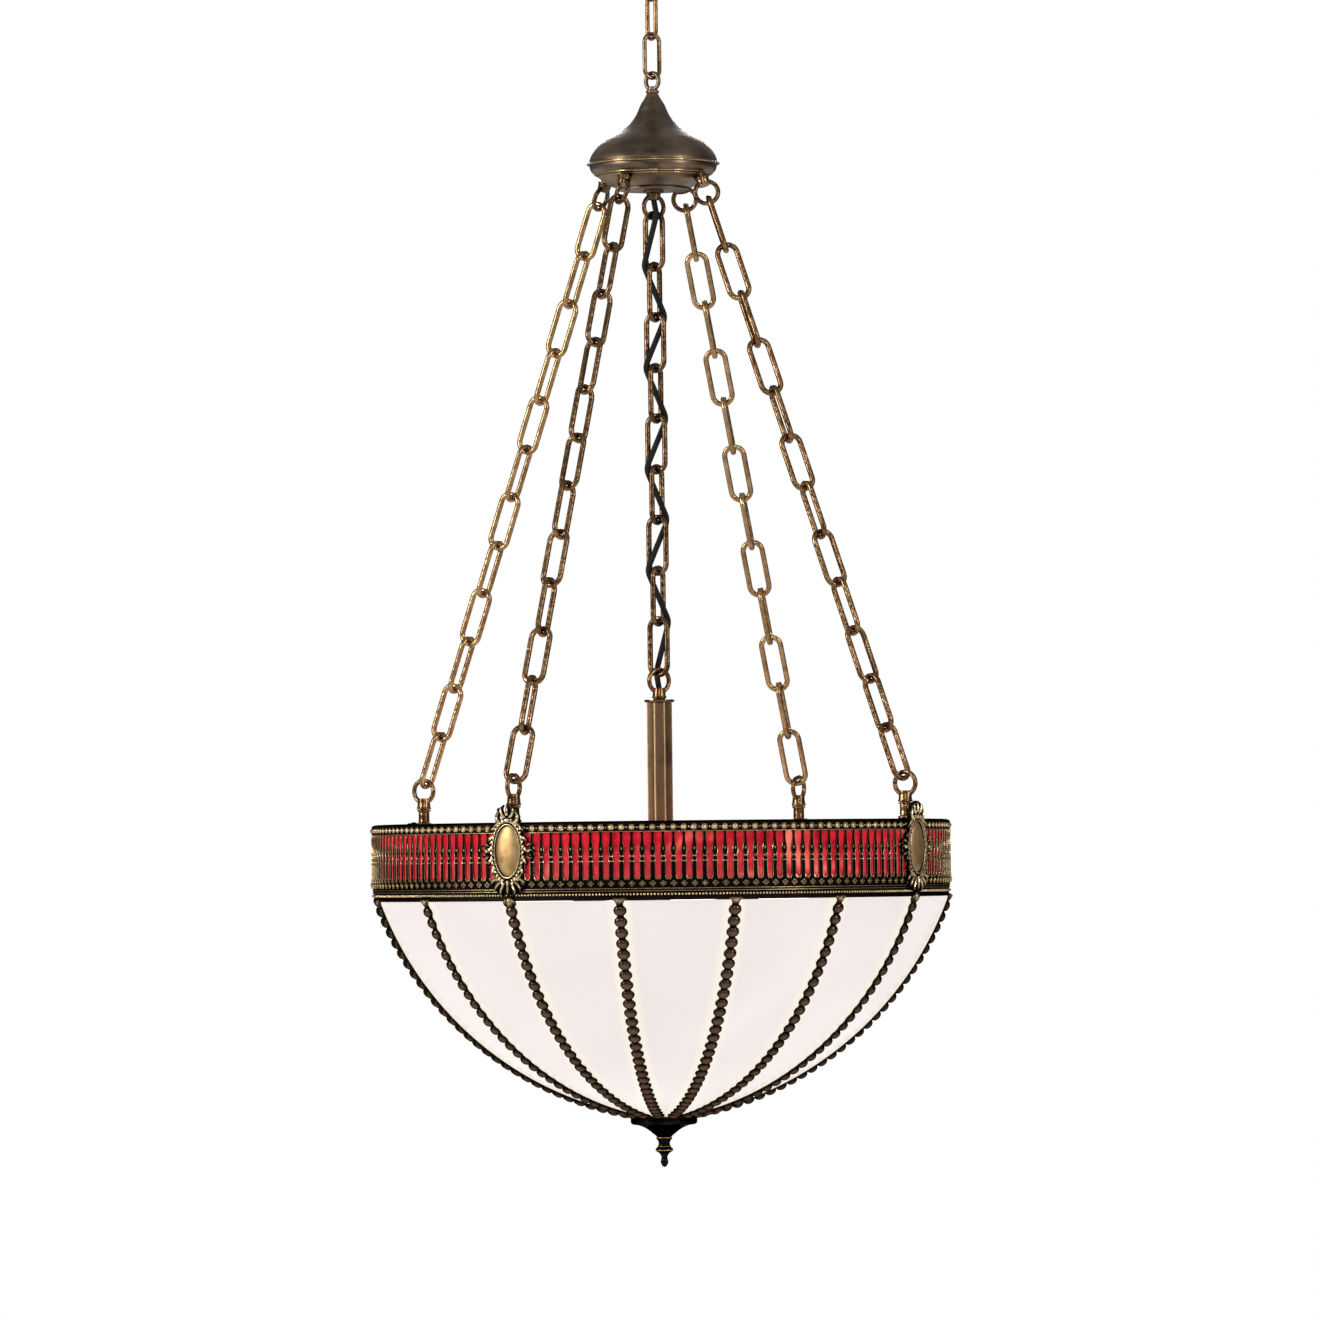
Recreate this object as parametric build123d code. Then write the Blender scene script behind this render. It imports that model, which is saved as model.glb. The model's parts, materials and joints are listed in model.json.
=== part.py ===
from build123d import *
import math
import os

# A hanging lamp: a bowl of bent glass panels in a beaded frame, held by four
# chains under a bell-shaped hub. Millimetres, +Z up. Z = 0 is the ceiling, and
# the lamp hangs below it on the Z axis. The four chains lie over the X and Y
# axes. A rise is a height above the foot edge of the band.

os.makedirs("parts", exist_ok=True)

CEILING_RISE = 940.0

# Bowl: the rib and glass curves are arcs about one centre
SIDES = 16
STEP = 360.0 / SIDES
ARC_CENTRE_R = -25.8
ARC_CENTRE_RISE = 103.8
GLASS_ARC_R = 297.4
GLASS_WALL = 3.0
GLASS_TOP_RISE = -0.5
GLASS_FOOT_R = 21.0
GLASS_GAP = 1.2
STRIP_ARC_R = 297.6
STRIP_WALL = 1.3
STRIP_WIDTH = 11.0
STRIP_TURN = (21.05, 80.0)
BEADING_R = 5.6
BEADING_ARC_R = 295.4
BEADING_TURN = (21.35, 78.6)

# Outer and centre chains, and the swivel rings at their ends
LINK_WIRE_R = 2.4
LINK_CROWN_R = 8.6
OUTER_PITCH = 44.9
CENTRE_PITCH = 44.5
RING_R = 10.0
RING_WIRE_R = 2.0
NECK_TOP = 6.2
TOUCH_GAP = 0.3
SWING_PLAY = 1.0
OUTER_LINKS = 12
CENTRE_LINKS = 9
HUB_RING_R = 54.0
BAND_RING_R = 245.0
BAND_RING_RISE = 97.5
HUB_CENTRE_RING_RISE = 606.9
CHAINS = {"right": 0.0, "back": 90.0, "left": 180.0, "front": 270.0}

# Cartouches, fixed to the band under the chains
CARTOUCHE_PLANE = Plane((254.7, 0, 0), x_dir=(0, 1, 0), z_dir=(1, 0, 0))
CRESTED = ("right", "front")

# Turn of each outer chain's first link, and the extra turn of each next one
LINK_START = {"right": -60.0, "back": 30.0, "left": 0.0, "front": -31.3}
LINK_CREEP = {"right": 4.1, "back": -0.8, "left": 0.0, "front": 4.3}

# Upper chain, from the canopy down to the hub's eye, with each link's turn
UPPER_WIRE_R = 1.9
UPPER_CROWN_R = 7.3
UPPER_PITCH = 34.4
UPPER_GAP = 0.4
UPPER_TURNS = (-30.0, 60.0, -30.0, 60.0)
CANOPY_RING_TURN = 60.0
EYE_R = 7.2
EYE_RISE = 717.6
EYE_TURN = -9.0

# Cord, threaded through the centre chain in a zigzag
CORD_R = 2.5
CORD_REACH = 9.5
CORD_BEND_R = 12.0
CORD_NECK_BEND_R = 4.0
CORD_BORE_R = 3.5
CORD_MOUTH_R = 4.3
CORD_TOP_RISE = 680.0
CORD_FOOT_RISE = 60.0

# Turn of the two rings at the ends of the centre chain
CENTRE_RING_TURN = 62.0

# Threads: a screwed rod or nipple and the hole it runs in
THREAD_R = 4.95
THREAD_HOLE_R = 5.0


def at(rise):
    """Z of a height given above the band's foot edge."""
    return rise - CEILING_RISE


def outline(start, *steps):
    """Closed face in the XZ plane. A step is a (radius, rise) point for a straight
    run, or a pair of them for an arc through the first to the second."""
    def spot(point):
        return (point[0], 0, at(point[1]))

    edges = []
    here = start
    for step in steps + (start,):
        if isinstance(step[0], tuple):
            edges.append(ThreePointArc(spot(here), spot(step[0]), spot(step[1])))
            here = step[1]
        elif math.dist(here, step) > 1e-6:
            edges.append(Line(spot(here), spot(step)))
            here = step
    return make_face(edges)


def turned(start, *steps):
    return revolve(outline(start, *steps), Axis.Z)


def skin(points, wall):
    """Turned sheet of even wall inside a smooth outer curve through the points."""
    outer = Spline(*[(r, 0, at(h)) for r, h in points])
    count = 4 * len(points)
    inner = []
    for i in range(count + 1):
        spot = outer @ (i / count)
        way = outer % (i / count)
        inner.append((spot.X + wall * way.Z, 0, spot.Z - wall * way.X))
    back = Spline(*inner)
    ends = [Line(outer @ 1, back @ 1), Line(back @ 0, outer @ 0)]
    return revolve(make_face([outer, ends[0], back, ends[1]]), Axis.Z)


def tube(outer_r, inner_r, low, high):
    return turned((inner_r, low), (outer_r, low), (outer_r, high), (inner_r, high))


def rod(radius, low, high):
    return Pos(0, 0, at((low + high) / 2)) * Cylinder(radius, high - low)


def nut(hole_r, flat_r, low, high):
    body = extrude(RegularPolygon(flat_r, 6, major_radius=False), high - low)
    return Pos(0, 0, at(low)) * body - rod(hole_r, low - 1, high + 1)


def around(shape, angles):
    return Compound(children=[Rot(0, 0, angle) * shape for angle in angles])


def save(node, shape):
    solids = list(shape.solids())
    whole = solids[0] if len(solids) == 1 else Compound(children=solids)
    export_step(whole, "parts/" + node + ".step")
    print(node, len(solids), "solids", round(sum(s.volume for s in solids)), "mm3")


def link(wire_r, crown_r, apex):
    """One long oval link in the XZ plane, centred, its long way along Z."""
    straight = apex - 2 * crown_r
    bend = Rot(90, 0, 0) * Torus(crown_r, wire_r, major_angle=180, align=None)
    side = Cylinder(wire_r, straight)
    shape = Pos(0, 0, straight / 2) * bend
    shape += Pos(0, 0, -straight / 2) * Rot(0, 180, 0) * bend
    shape += Pos(crown_r, 0, 0) * side
    return shape + Pos(-crown_r, 0, 0) * side


def swivel_ring(neck_end, stud_end, stud_r, bore_r=0.0):
    """A ring in the XZ plane about the origin, on a neck that points down to a
    rounded collar and a screwed stud."""
    shape = Rot(90, 0, 0) * Torus(RING_R, RING_WIRE_R)
    neck_foot = neck_end - 2.0
    shape += Pos(0, 0, -(NECK_TOP + neck_foot) / 2) * Cone(5.9, 5.2, neck_foot - NECK_TOP)
    collar = Cylinder(6.4, 2.0)
    shape += Pos(0, 0, -neck_end + 1.0) * fillet(collar.edges(), 0.8)
    shape += Pos(0, 0, -(neck_end + stud_end) / 2) * Cylinder(stud_r, stud_end - neck_end)
    if bore_r:
        length = stud_end - NECK_TOP + 4
        shape -= Pos(0, 0, -NECK_TOP + 2 - length / 2) * Cylinder(bore_r, length)
        shape -= Pos(0, 0, -NECK_TOP - 0.5) * Cylinder(CORD_MOUTH_R, 5.0)
    return shape


def link_apex(pitch):
    """Length of a link over its wire's centre line, for a chain of that pitch."""
    return pitch + 2 * LINK_WIRE_R + 0.1


def chain_frame(name):
    """The hub ring's centre of one outer chain, the way down the chain, and the two
    ways across it."""
    turn = math.radians(CHAINS[name])
    hooked = RING_R - RING_WIRE_R - LINK_WIRE_R
    length = (OUTER_LINKS - 1) * OUTER_PITCH + link_apex(OUTER_PITCH)
    span = length + 2 * hooked - TOUCH_GAP - SWING_PLAY
    out = (BAND_RING_R - HUB_RING_R) / span
    down = math.sqrt(1 - out * out)
    radial = Vector(math.cos(turn), math.sin(turn), 0)
    top = radial * HUB_RING_R + Vector(0, 0, at(BAND_RING_RISE + span * down))
    way = radial * out - Vector(0, 0, down)
    across = radial * down + Vector(0, 0, out)
    side = Vector(-math.sin(turn), math.cos(turn), 0)
    return top, way, across, side


def links_along(top, way, across, side, count, pitch, start=0.0, creep=0.0):
    """Links hooked one in the next. Top is the first crown's wire centre."""
    apex = link_apex(pitch)
    shape = link(LINK_WIRE_R, LINK_CROWN_R, apex)
    made = []
    for i in range(count):
        angle = math.radians(start + i * (90.0 + creep))
        centre = top + way * (apex / 2 + i * pitch)
        lateral = across * math.cos(angle) + side * math.sin(angle)
        made.append(Plane(centre, x_dir=lateral, z_dir=way * -1).location * shape)
    return Compound(children=made)


def ceiling_parts():
    plate = Pos(0, 0, -1.25) * Box(106, 22, 2.5)
    plate = fillet(plate.edges().filter_by(Axis.Z), 4)
    plate -= Pos(0, 0, -1.25) * Cylinder(THREAD_HOLE_R, 4)
    for x in (-39.7, 39.7):
        plate -= Pos(x, 0, -1.25) * extrude(SlotOverall(24, 4.6), 2, both=True)
    save("crossbar", plate)
    save("crossbar_nut", nut(THREAD_HOLE_R, 8.0, 931.0, 937.3))
    bell = [(64.0, 940.0), (62.6, 933.0), (55.0, 924.5), (40.0, 917.0), (24.0, 911.0), (13.0, 905.5)]
    floor = tube(12.6, THREAD_HOLE_R + 0.2, 903.6, 906.6)
    save("canopy", skin(bell, 1.2) + floor)
    save("canopy_ring_nut", tube(9.5, THREAD_HOLE_R, 898.0, 903.3))
    reach = UPPER_WIRE_R + RING_WIRE_R + UPPER_GAP
    centre = eye_link_foot() + 3 * UPPER_PITCH + upper_apex() - reach + RING_R
    eye = swivel_ring(896.0 - centre, 938.0 - centre, THREAD_R)
    eye = Pos(0, 0, at(centre)) * Rot(0, 0, CANOPY_RING_TURN) * Rot(180, 0, 0) * eye
    save("canopy_eye", eye)


def upper_apex():
    return UPPER_PITCH + 2 * UPPER_WIRE_R + UPPER_GAP


def eye_link_foot():
    """Rise of the lowest upper link's foot crown, hooked under the eye's top."""
    return EYE_RISE + EYE_R - 2 * UPPER_WIRE_R - UPPER_GAP


def upper_chain():
    shape = link(UPPER_WIRE_R, UPPER_CROWN_R, upper_apex())
    for i in range(4):
        rise = eye_link_foot() + upper_apex() / 2 + (3 - i) * UPPER_PITCH
        placed = Pos(0, 0, at(rise)) * Rot(0, 0, UPPER_TURNS[i]) * shape
        save("upper_link_%d" % (i + 1), placed)


def hub_eye():
    ring = Rot(90, 0, 0) * Torus(EYE_R, UPPER_WIRE_R)
    ring = Pos(0, 0, at(EYE_RISE)) * Rot(0, 0, EYE_TURN) * ring
    foot = turned((0, 713.0), (3.9, 713.0), (4.4, 710.0), ((5.7, 709.2), (5.7, 707.4)), (4.8, 706.3),
                  (3.9, 706.3), (3.9, 692.0), (0, 692.0))
    save("hub_eye", ring + foot)


def hub_body():
    bell = [(5.3, 706.0), (7.5, 701.8), (10.3, 697.4), (13.2, 690.7), (17.3, 683.7),
            (24.4, 676.7), (35.5, 669.6), (46.0, 662.6), (52.4, 655.6), (55.6, 649.6), (56.4, 645.8)]
    save("hub_cap", skin(bell, 1.2))
    lip = outline((55.0, 643.8), (57.0, 643.8), ((57.9, 644.7), (57.0, 645.6)), (55.0, 645.6))
    save("hub_lip", revolve(lip, Axis.Z))
    dish = outline((55.8, 643.6), ((54.6, 638.6), (49.9, 635.3)), (49.5, 636.5),
                   ((53.5, 639.3), (54.6, 643.6)))
    dish = revolve(dish, Axis.Z)
    floor = turned((49.4, 634.9), ((42.5, 628.6), (31.6, 623.6)), (31.2, 624.8), ((41.8, 629.7), (48.6, 635.9)))
    for name in CHAINS:
        top, way, across, side = chain_frame(name)
        hole = Plane(top - way * 22, x_dir=side, z_dir=way).location * Cylinder(4.5, 16)
        floor -= hole
        dish -= hole
    save("hub_dish", dish)
    save("hub_floor", floor)
    save("hub_base", turned((THREAD_HOLE_R, 621.4), (30.0, 621.4), ((31.2, 622.2), (30.9, 623.3)),
                            (THREAD_HOLE_R, 623.3)))
    save("hub_seat", tube(9.0, THREAD_HOLE_R, 619.4, 621.2))
    save("hub_locknut", nut(THREAD_HOLE_R, 8.0, 623.5, 628.5))
    save("hub_nipple", tube(THREAD_R, 3.6, 636.5, 688.0))
    lower = tube(8.0, THREAD_HOLE_R, 630.0, 643.0)
    upper = tube(7.5, THREAD_HOLE_R, 682.0, 690.0) + tube(7.5, 3.95, 690.0, 697.0)
    save("hub_couplings", Compound(children=[lower, upper]))
    centre_rise = HUB_CENTRE_RING_RISE
    ring = swivel_ring(619.2 - centre_rise, 636.2 - centre_rise, THREAD_R, CORD_BORE_R)
    place = Pos(0, 0, at(centre_rise)) * Rot(0, 0, CENTRE_RING_TURN)
    save("hub_centre_loop", place * Rot(180, 0, 0) * ring)


def hub_arms():
    """Four swivel rings with their studs through the hub's floor, and their nuts."""
    rings = []
    nuts = []
    for name in CHAINS:
        top, way, across, side = chain_frame(name)
        angle = math.radians(LINK_START[name] - 90.0)
        lateral = across * math.cos(angle) + side * math.sin(angle)
        place = Plane(top, x_dir=lateral, z_dir=way).location
        rings.append(place * swivel_ring(14.6, 27.5, 4.2))
        hexagon = extrude(RegularPolygon(6.4, 6, major_radius=False), 4.0)
        nuts.append(place * Pos(0, 0, -25.5) * (hexagon - Cylinder(4.25, 12)))
    save("hub_arm_loops", Compound(children=rings))
    save("hub_arm_nuts", Compound(children=nuts))


def outer_chains():
    for name in CHAINS:
        top, way, across, side = chain_frame(name)
        first = top + way * (RING_R - RING_WIRE_R - LINK_WIRE_R - TOUCH_GAP)
        chain = links_along(first, way, across, side, OUTER_LINKS, OUTER_PITCH,
                            LINK_START[name], LINK_CREEP[name])
        save("chain_" + name, chain)


def centre_top():
    """Rise of the centre chain's first crown, hooked over the hub ring's foot."""
    return HUB_CENTRE_RING_RISE - RING_R + RING_WIRE_R + LINK_WIRE_R + TOUCH_GAP


def stem_ring_rise():
    last = centre_top() - (CENTRE_LINKS - 1) * CENTRE_PITCH - link_apex(CENTRE_PITCH)
    return last + LINK_WIRE_R + RING_WIRE_R + TOUCH_GAP - RING_R


def centre_chain():
    top = Vector(0, 0, at(centre_top()))
    down = Vector(0, 0, -1)
    chain = links_along(top, down, Vector(1, 0, 0), Vector(0, 1, 0), CENTRE_LINKS, CENTRE_PITCH)
    save("centre_chain", chain)


def cord():
    """One cord from the hub's nipple down through the rings and links to the stem."""
    joints = [centre_top() - LINK_WIRE_R - i * CENTRE_PITCH for i in range(CENTRE_LINKS + 1)]
    route = [(0, 0, at(CORD_TOP_RISE)), (0, 0, at(HUB_CENTRE_RING_RISE + 7.0))]
    radii = [CORD_NECK_BEND_R]
    turns = [-45.0] + [225.0, 45.0] * (CENTRE_LINKS // 2) + [135.0]
    for turn, rise in zip(turns, joints):
        way = math.radians(turn)
        route.append((CORD_REACH * math.cos(way), CORD_REACH * math.sin(way), at(rise)))
        radii.append(CORD_BEND_R)
    route += [(0, 0, at(stem_ring_rise() - 7.0)), (0, 0, at(CORD_FOOT_RISE))]
    radii.append(CORD_NECK_BEND_R)
    path = FilletPolyline(*route, radius=radii)
    section = Plane(path @ 0, z_dir=path % 0) * Circle(CORD_R)
    body = sweep(section, path=path)
    save("lamp_cord", body)
    want = math.pi * CORD_R * CORD_R * path.length
    print("cord length", round(path.length, 1), "mm, bend radii", sorted(set(radii)), "mm,",
          "volume over section times length", round(body.volume / want, 4))


def stem_parts():
    rise = stem_ring_rise()
    ring = swivel_ring(rise - 175.6, rise - 150.0, THREAD_R, CORD_BORE_R)
    save("stem_loop", Pos(0, 0, at(rise)) * Rot(0, 0, CENTRE_RING_TURN) * ring)
    flange = turned((THREAD_HOLE_R, 172.0), (12.2, 172.0), ((13.2, 173.0), (12.6, 174.4)),
                    ((10.0, 174.9), (8.6, 175.4)), (THREAD_HOLE_R, 175.4))
    save("stem_flange", flange)
    section = Circle(11.8) - Circle(9.8)
    flute = Circle(1.1)
    for i in range(8):
        section -= Rot(0, 0, 45.0 * i) * Pos(12.4, 0) * flute
    save("stem_tube", Pos(0, 0, at(62.2)) * extrude(section, 171.8 - 62.2))
    save("stem_rod", tube(THREAD_R, 3.6, 40.0, 149.6))
    save("stem_coupling", tube(8.0, THREAD_HOLE_R, 143.0, 156.0))


def lamp_cluster():
    """A spun canister with four arms, each to a tilted socket with its bulb."""
    can = turned((THREAD_HOLE_R, 60.2), (THREAD_HOLE_R, 62.0), (30.0, 62.0), ((34.6, 60.0), (36.0, 55.0)), (36.0, 34.0),
                 (THREAD_HOLE_R, 34.0), (THREAD_HOLE_R, 36.0), (34.4, 36.0), (34.4, 55.0), ((33.2, 58.8), (30.0, 60.2)))
    tilt = Pos(48, 0, at(22)) * Rot(0, 125, 0)
    arm = Pos(0, 0, -13.2) * Cylinder(5.0, 26)
    low = Pos(0, 0, at(34.5) + 20) * Box(200, 200, 40)
    arm = tilt * arm - low
    spots = [45.0 + 90.0 * i for i in range(4)]
    for angle in spots:
        can += Rot(0, 0, angle) * (arm + Pos(29.5, 0, at(35.0)) * Cylinder(6.0, 2.0))
    save("lamp_cluster", can)
    cup = Pos(0, 0, 21) * Cylinder(17.5, 42) - Pos(0, 0, 26) * Cylinder(13.6, 34)
    save("lamp_sockets", around(tilt * cup, spots))
    cap = Pos(0, 0, 27.5) * Cylinder(13.2, 33)
    glass = Pos(0, 0, 84) * Sphere(30.0) + Pos(0, 0, 56) * Cone(13.2, 25.5, 24)
    save("lamp_bulbs", around(tilt * (cap + glass), spots))


def band_parts():
    shell = turned((252.4, 0.0), ((253.2, 0.4), (253.4, 1.4)), (253.5, 9.0), ((254.1, 18.0), (254.3, 27.0)),
                   (254.3, 58.0), (252.6, 58.0), (252.6, 27.0), ((252.3, 18.0), (251.8, 9.0)), (251.2, 0.0))
    save("band_shell", shell)
    rim = turned((254.3, 58.3), ((252.9, 63.8), (248.0, 67.0)), (237.0, 67.0), (237.0, 65.2), (248.0, 65.2),
                 ((251.4, 62.9), (252.7, 58.3)))
    for angle in CHAINS.values():
        place = Rot(0, 0, angle) * Pos(BAND_RING_R, 0, 0)
        rim += place * rod(6.4, 59.6, 66.0)
        rim -= place * rod(4.05, 58.0, 68.0)
    save("band_top_rim", rim)
    foot = turned((238.0, 6.6), (250.9, 6.6), (250.9, 17.0), (249.7, 17.0), (249.7, 8.4), (238.0, 8.4))
    save("band_foot_ring", foot)
    save("red_glass", tube(249.4, 246.4, 8.8, 58.4))


def band_loops():
    ring = swivel_ring(16.0, 37.6, 4.0)
    ring = Pos(BAND_RING_R, 0, at(BAND_RING_RISE)) * ring
    save("band_loops", around(ring, CHAINS.values()))
    post = turned((4.1, 67.2), (6.2, 67.2), ((6.6, 68.4), (5.9, 69.4)), (4.9, 70.0), (4.8, 79.4),
                  ((6.0, 80.2), (5.6, 81.2)), (4.1, 81.2))
    save("band_posts", around(Pos(BAND_RING_R, 0, 0) * post, CHAINS.values()))


def cartouche_frame(top):
    """One leafy frame, as far as its top outline, on the band's front."""
    half = [(0, 3.4), (5.5, 4.6), (9.0, 9.5), (12.5, 13.0), (14.0, 18.5), (18.6, 23.5), (19.6, 33.0),
            (25.5, 37.0), (27.0, 42.6), (25.5, 48.2), (19.6, 52.2), (18.0, 61.0)] + top
    corners = [(x, at(h)) for x, h in half] + [(-x, at(h)) for x, h in half[-2:0:-1]]
    plate = extrude(CARTOUCHE_PLANE * make_face(Polyline(*corners, close=True)), 3.6)
    oval = CARTOUCHE_PLANE * Pos(0, at(42.6)) * Ellipse(12.3, 22.2)
    return plate - extrude(oval, 8, both=True)


def cartouches():
    """Four leafy frames, each round a domed oval plaque. The two in front have a
    crest over the band's rim and the two behind stop under it."""
    crested = cartouche_frame([(14.5, 66.0), (11.0, 68.5), (9.6, 75.0), (6.0, 81.0), (2.6, 82.6), (0, 82.6)])
    plain = cartouche_frame([(13.0, 65.6), (6.0, 67.0), (0, 67.0)])
    frames = [Rot(0, 0, CHAINS[name]) * (crested if name in CRESTED else plain) for name in CHAINS]
    save("cartouche_frames", Compound(children=frames))
    plaque = extrude(CARTOUCHE_PLANE * Pos(0, at(42.6)) * Ellipse(12.1, 22.0), 5.0)
    plaque = fillet(plaque.edges().group_by(Axis.X)[-1], 3.0)
    save("cartouche_plaques", around(plaque, CHAINS.values()))


def arc_rise(arc_r, radius):
    reach = radius - ARC_CENTRE_R
    return ARC_CENTRE_RISE - math.sqrt(arc_r * arc_r - reach * reach)


def arc_radius(arc_r, rise):
    drop = ARC_CENTRE_RISE - rise
    return ARC_CENTRE_R + math.sqrt(arc_r * arc_r - drop * drop)


def glass_panels():
    """Sixteen panels, each bent one way only: flat across and curved from top to foot."""
    flat = math.cos(math.radians(STEP / 2))
    outer_r = GLASS_ARC_R
    inner_r = GLASS_ARC_R - GLASS_WALL
    mid = 0.62 * arc_radius(outer_r, GLASS_TOP_RISE)
    top = arc_radius(outer_r, GLASS_TOP_RISE)
    back = arc_radius(inner_r, GLASS_TOP_RISE)
    face = outline((top * flat, GLASS_TOP_RISE),
                   ((mid * flat, arc_rise(outer_r, mid)), (GLASS_FOOT_R * flat, arc_rise(outer_r, GLASS_FOOT_R))),
                   (GLASS_FOOT_R * flat, arc_rise(inner_r, GLASS_FOOT_R)),
                   ((mid * flat, arc_rise(inner_r, mid)), (back * flat, GLASS_TOP_RISE)))
    sheet = extrude(face, 60, both=True)
    half = math.radians(STEP / 2)
    start = GLASS_GAP / 2 / math.sin(half)
    far = 300.0
    wide = (far - start) * math.tan(half)
    wedge = make_face(Polyline((start, 0), (far, -wide), (far, wide), close=True))
    prism = Pos(0, 0, at(-300)) * extrude(wedge, 400)
    panel = sheet & prism
    save("glass_panels", around(panel, [STEP * (i + 0.5) for i in range(SIDES)]))


def ribs():
    """Curved strips over the joints of the glass, each with a half-round beading."""
    axis = Axis((ARC_CENTRE_R, 0, at(ARC_CENTRE_RISE)), (0, 1, 0))
    base = Pos(ARC_CENTRE_R, 0, at(ARC_CENTRE_RISE))
    flat = base * Pos(STRIP_ARC_R + STRIP_WALL / 2, 0) * Rectangle(STRIP_WALL, STRIP_WIDTH)
    strip = revolve(flat, axis, STRIP_TURN[1] - STRIP_TURN[0]).rotate(axis, STRIP_TURN[0])
    dome = Pos(BEADING_ARC_R, 0) * Circle(BEADING_R)
    dome &= Pos(STRIP_ARC_R + 0.6 + 10, 0) * Rectangle(20, 20)
    bead = revolve(base * dome, axis, BEADING_TURN[1] - BEADING_TURN[0]).rotate(axis, BEADING_TURN[0])
    save("ribs", around(strip + bead, [STEP * i for i in range(SIDES)]))
    clip = Pos(254.2, 0, at(0)) * Box(1.2, 12.0, 5.6)
    clip = fillet(clip.edges().filter_by(Axis.X), 1.4)
    plain = [STEP * i for i in range(SIDES) if i % 4 != 0]
    save("rib_clips", around(clip, plain))


def bottom_parts():
    cap = turned((3.3, -207.9), (6.6, -207.9), ((8.4, -206.4), (10.1, -205.1)), ((17.5, -200.0), (25.4, -197.4)),
                 ((28.6, -196.4), (29.2, -194.0)), (29.2, -190.6), (27.6, -190.6), (27.6, -194.2),
                 ((17.0, -198.0), (9.0, -202.4)), (3.3, -202.4))
    save("bottom_cap", cap)
    save("inner_seat", tube(33.0, THREAD_HOLE_R, -183.2, -181.4))
    save("inner_nut", nut(THREAD_HOLE_R, 8.0, -181.2, -175.2))
    save("centre_rod", rod(THREAD_R, -200.0, 39.6) + rod(3.0, -214.0, -200.0))
    save("rod_coupling", tube(9.0, THREAD_HOLE_R, 26.0, 33.6))
    shape = turned((3.05, -208.1), (6.6, -208.1), ((7.0, -209.5), (6.0, -210.9)), ((5.0, -214.7), (6.2, -217.6)),
                   ((7.7, -219.6), (6.4, -221.4)), ((3.6, -223.6), (2.6, -227.0)), ((3.3, -230.6), (1.2, -234.4)),
                   (0, -234.9), (0, -214.6), (3.05, -214.6))
    save("finial", shape)


ceiling_parts()
upper_chain()
hub_eye()
hub_body()
hub_arms()
outer_chains()
centre_chain()
cord()
stem_parts()
lamp_cluster()
band_parts()
band_loops()
cartouches()
glass_panels()
ribs()
bottom_parts()
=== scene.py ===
import json
import math

import bpy
import numpy as np
from mathutils import Matrix, Vector


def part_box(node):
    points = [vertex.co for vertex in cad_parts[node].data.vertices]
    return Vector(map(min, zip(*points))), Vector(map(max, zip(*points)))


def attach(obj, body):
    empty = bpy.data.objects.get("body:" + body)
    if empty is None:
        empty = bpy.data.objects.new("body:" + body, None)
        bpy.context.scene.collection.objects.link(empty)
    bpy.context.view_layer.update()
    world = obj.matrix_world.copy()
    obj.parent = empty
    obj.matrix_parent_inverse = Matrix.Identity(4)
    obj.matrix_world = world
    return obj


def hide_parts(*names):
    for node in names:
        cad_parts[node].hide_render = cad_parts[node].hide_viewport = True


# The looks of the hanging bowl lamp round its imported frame. Lengths in the
# builders below are millimetres; a rise is a height above the band's foot edge.

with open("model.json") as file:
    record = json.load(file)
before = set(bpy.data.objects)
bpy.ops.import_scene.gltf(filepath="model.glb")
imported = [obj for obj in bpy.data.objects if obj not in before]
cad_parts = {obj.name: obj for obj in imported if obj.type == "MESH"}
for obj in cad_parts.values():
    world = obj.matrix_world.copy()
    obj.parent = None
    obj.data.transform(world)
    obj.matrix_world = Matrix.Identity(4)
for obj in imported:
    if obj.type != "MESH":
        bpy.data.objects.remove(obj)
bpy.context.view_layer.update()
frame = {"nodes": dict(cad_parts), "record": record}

MM = 0.001
FOOT_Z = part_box("band_shell")[0][2] / MM

# The band: its outer wall, how many columns it has, and the taper of its lower part
BAND_R = 253.0
PERIODS = 180
TAPER_RISE = 24.0
TAPER_DEEP = 1.3
TAPER_POWER = 1.6

# The bowl: its sides, and its panels of glass, whose arcs share one centre
SIDES = 16
STEP = 2 * math.pi / SIDES
ARC_CENTRE_R = -25.8
ARC_CENTRE_RISE = 103.8
GLASS_ARC_R = 297.4
GLASS_WALL = 3.0
GLASS_TOP_RISE = -0.4
GLASS_FOOT_R = 21.0
GLASS_GAP = 0.6

# The cartouches: the turn of each in degrees, and whether it has a crest
CARTOUCHE_TURNS = {0.0: True, 90.0: False, 180.0: False, 270.0: True}
CARTOUCHE_R = 254.7
OVAL_RISE = 42.6
OVAL_HALF = (12.3, 22.2)

# The camera's turn about the lamp's axis. One of the stem's flutes faces it.
CAMERA_TURN = math.radians(30.6)
FLUTE_TURN = CAMERA_TURN


# Mesh building

def make_piece(name, points, faces, material, body, replaced=(), crease=40):
    """One object from points in millimetres (x, y, rise), riding on a body."""
    points = np.array(points, dtype=float)
    points[:, 2] += FOOT_Z
    mesh = bpy.data.meshes.new(name)
    mesh.from_pydata((points * MM).tolist(), [], faces)
    mesh.validate()
    mesh.shade_smooth()
    mesh.set_sharp_from_angle(angle=math.radians(crease))
    piece = bpy.data.objects.new(name, mesh)
    bpy.context.scene.collection.objects.link(piece)
    mesh.materials.append(material)
    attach(piece, body)
    if replaced:
        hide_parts(*replaced)
    return piece


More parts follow.
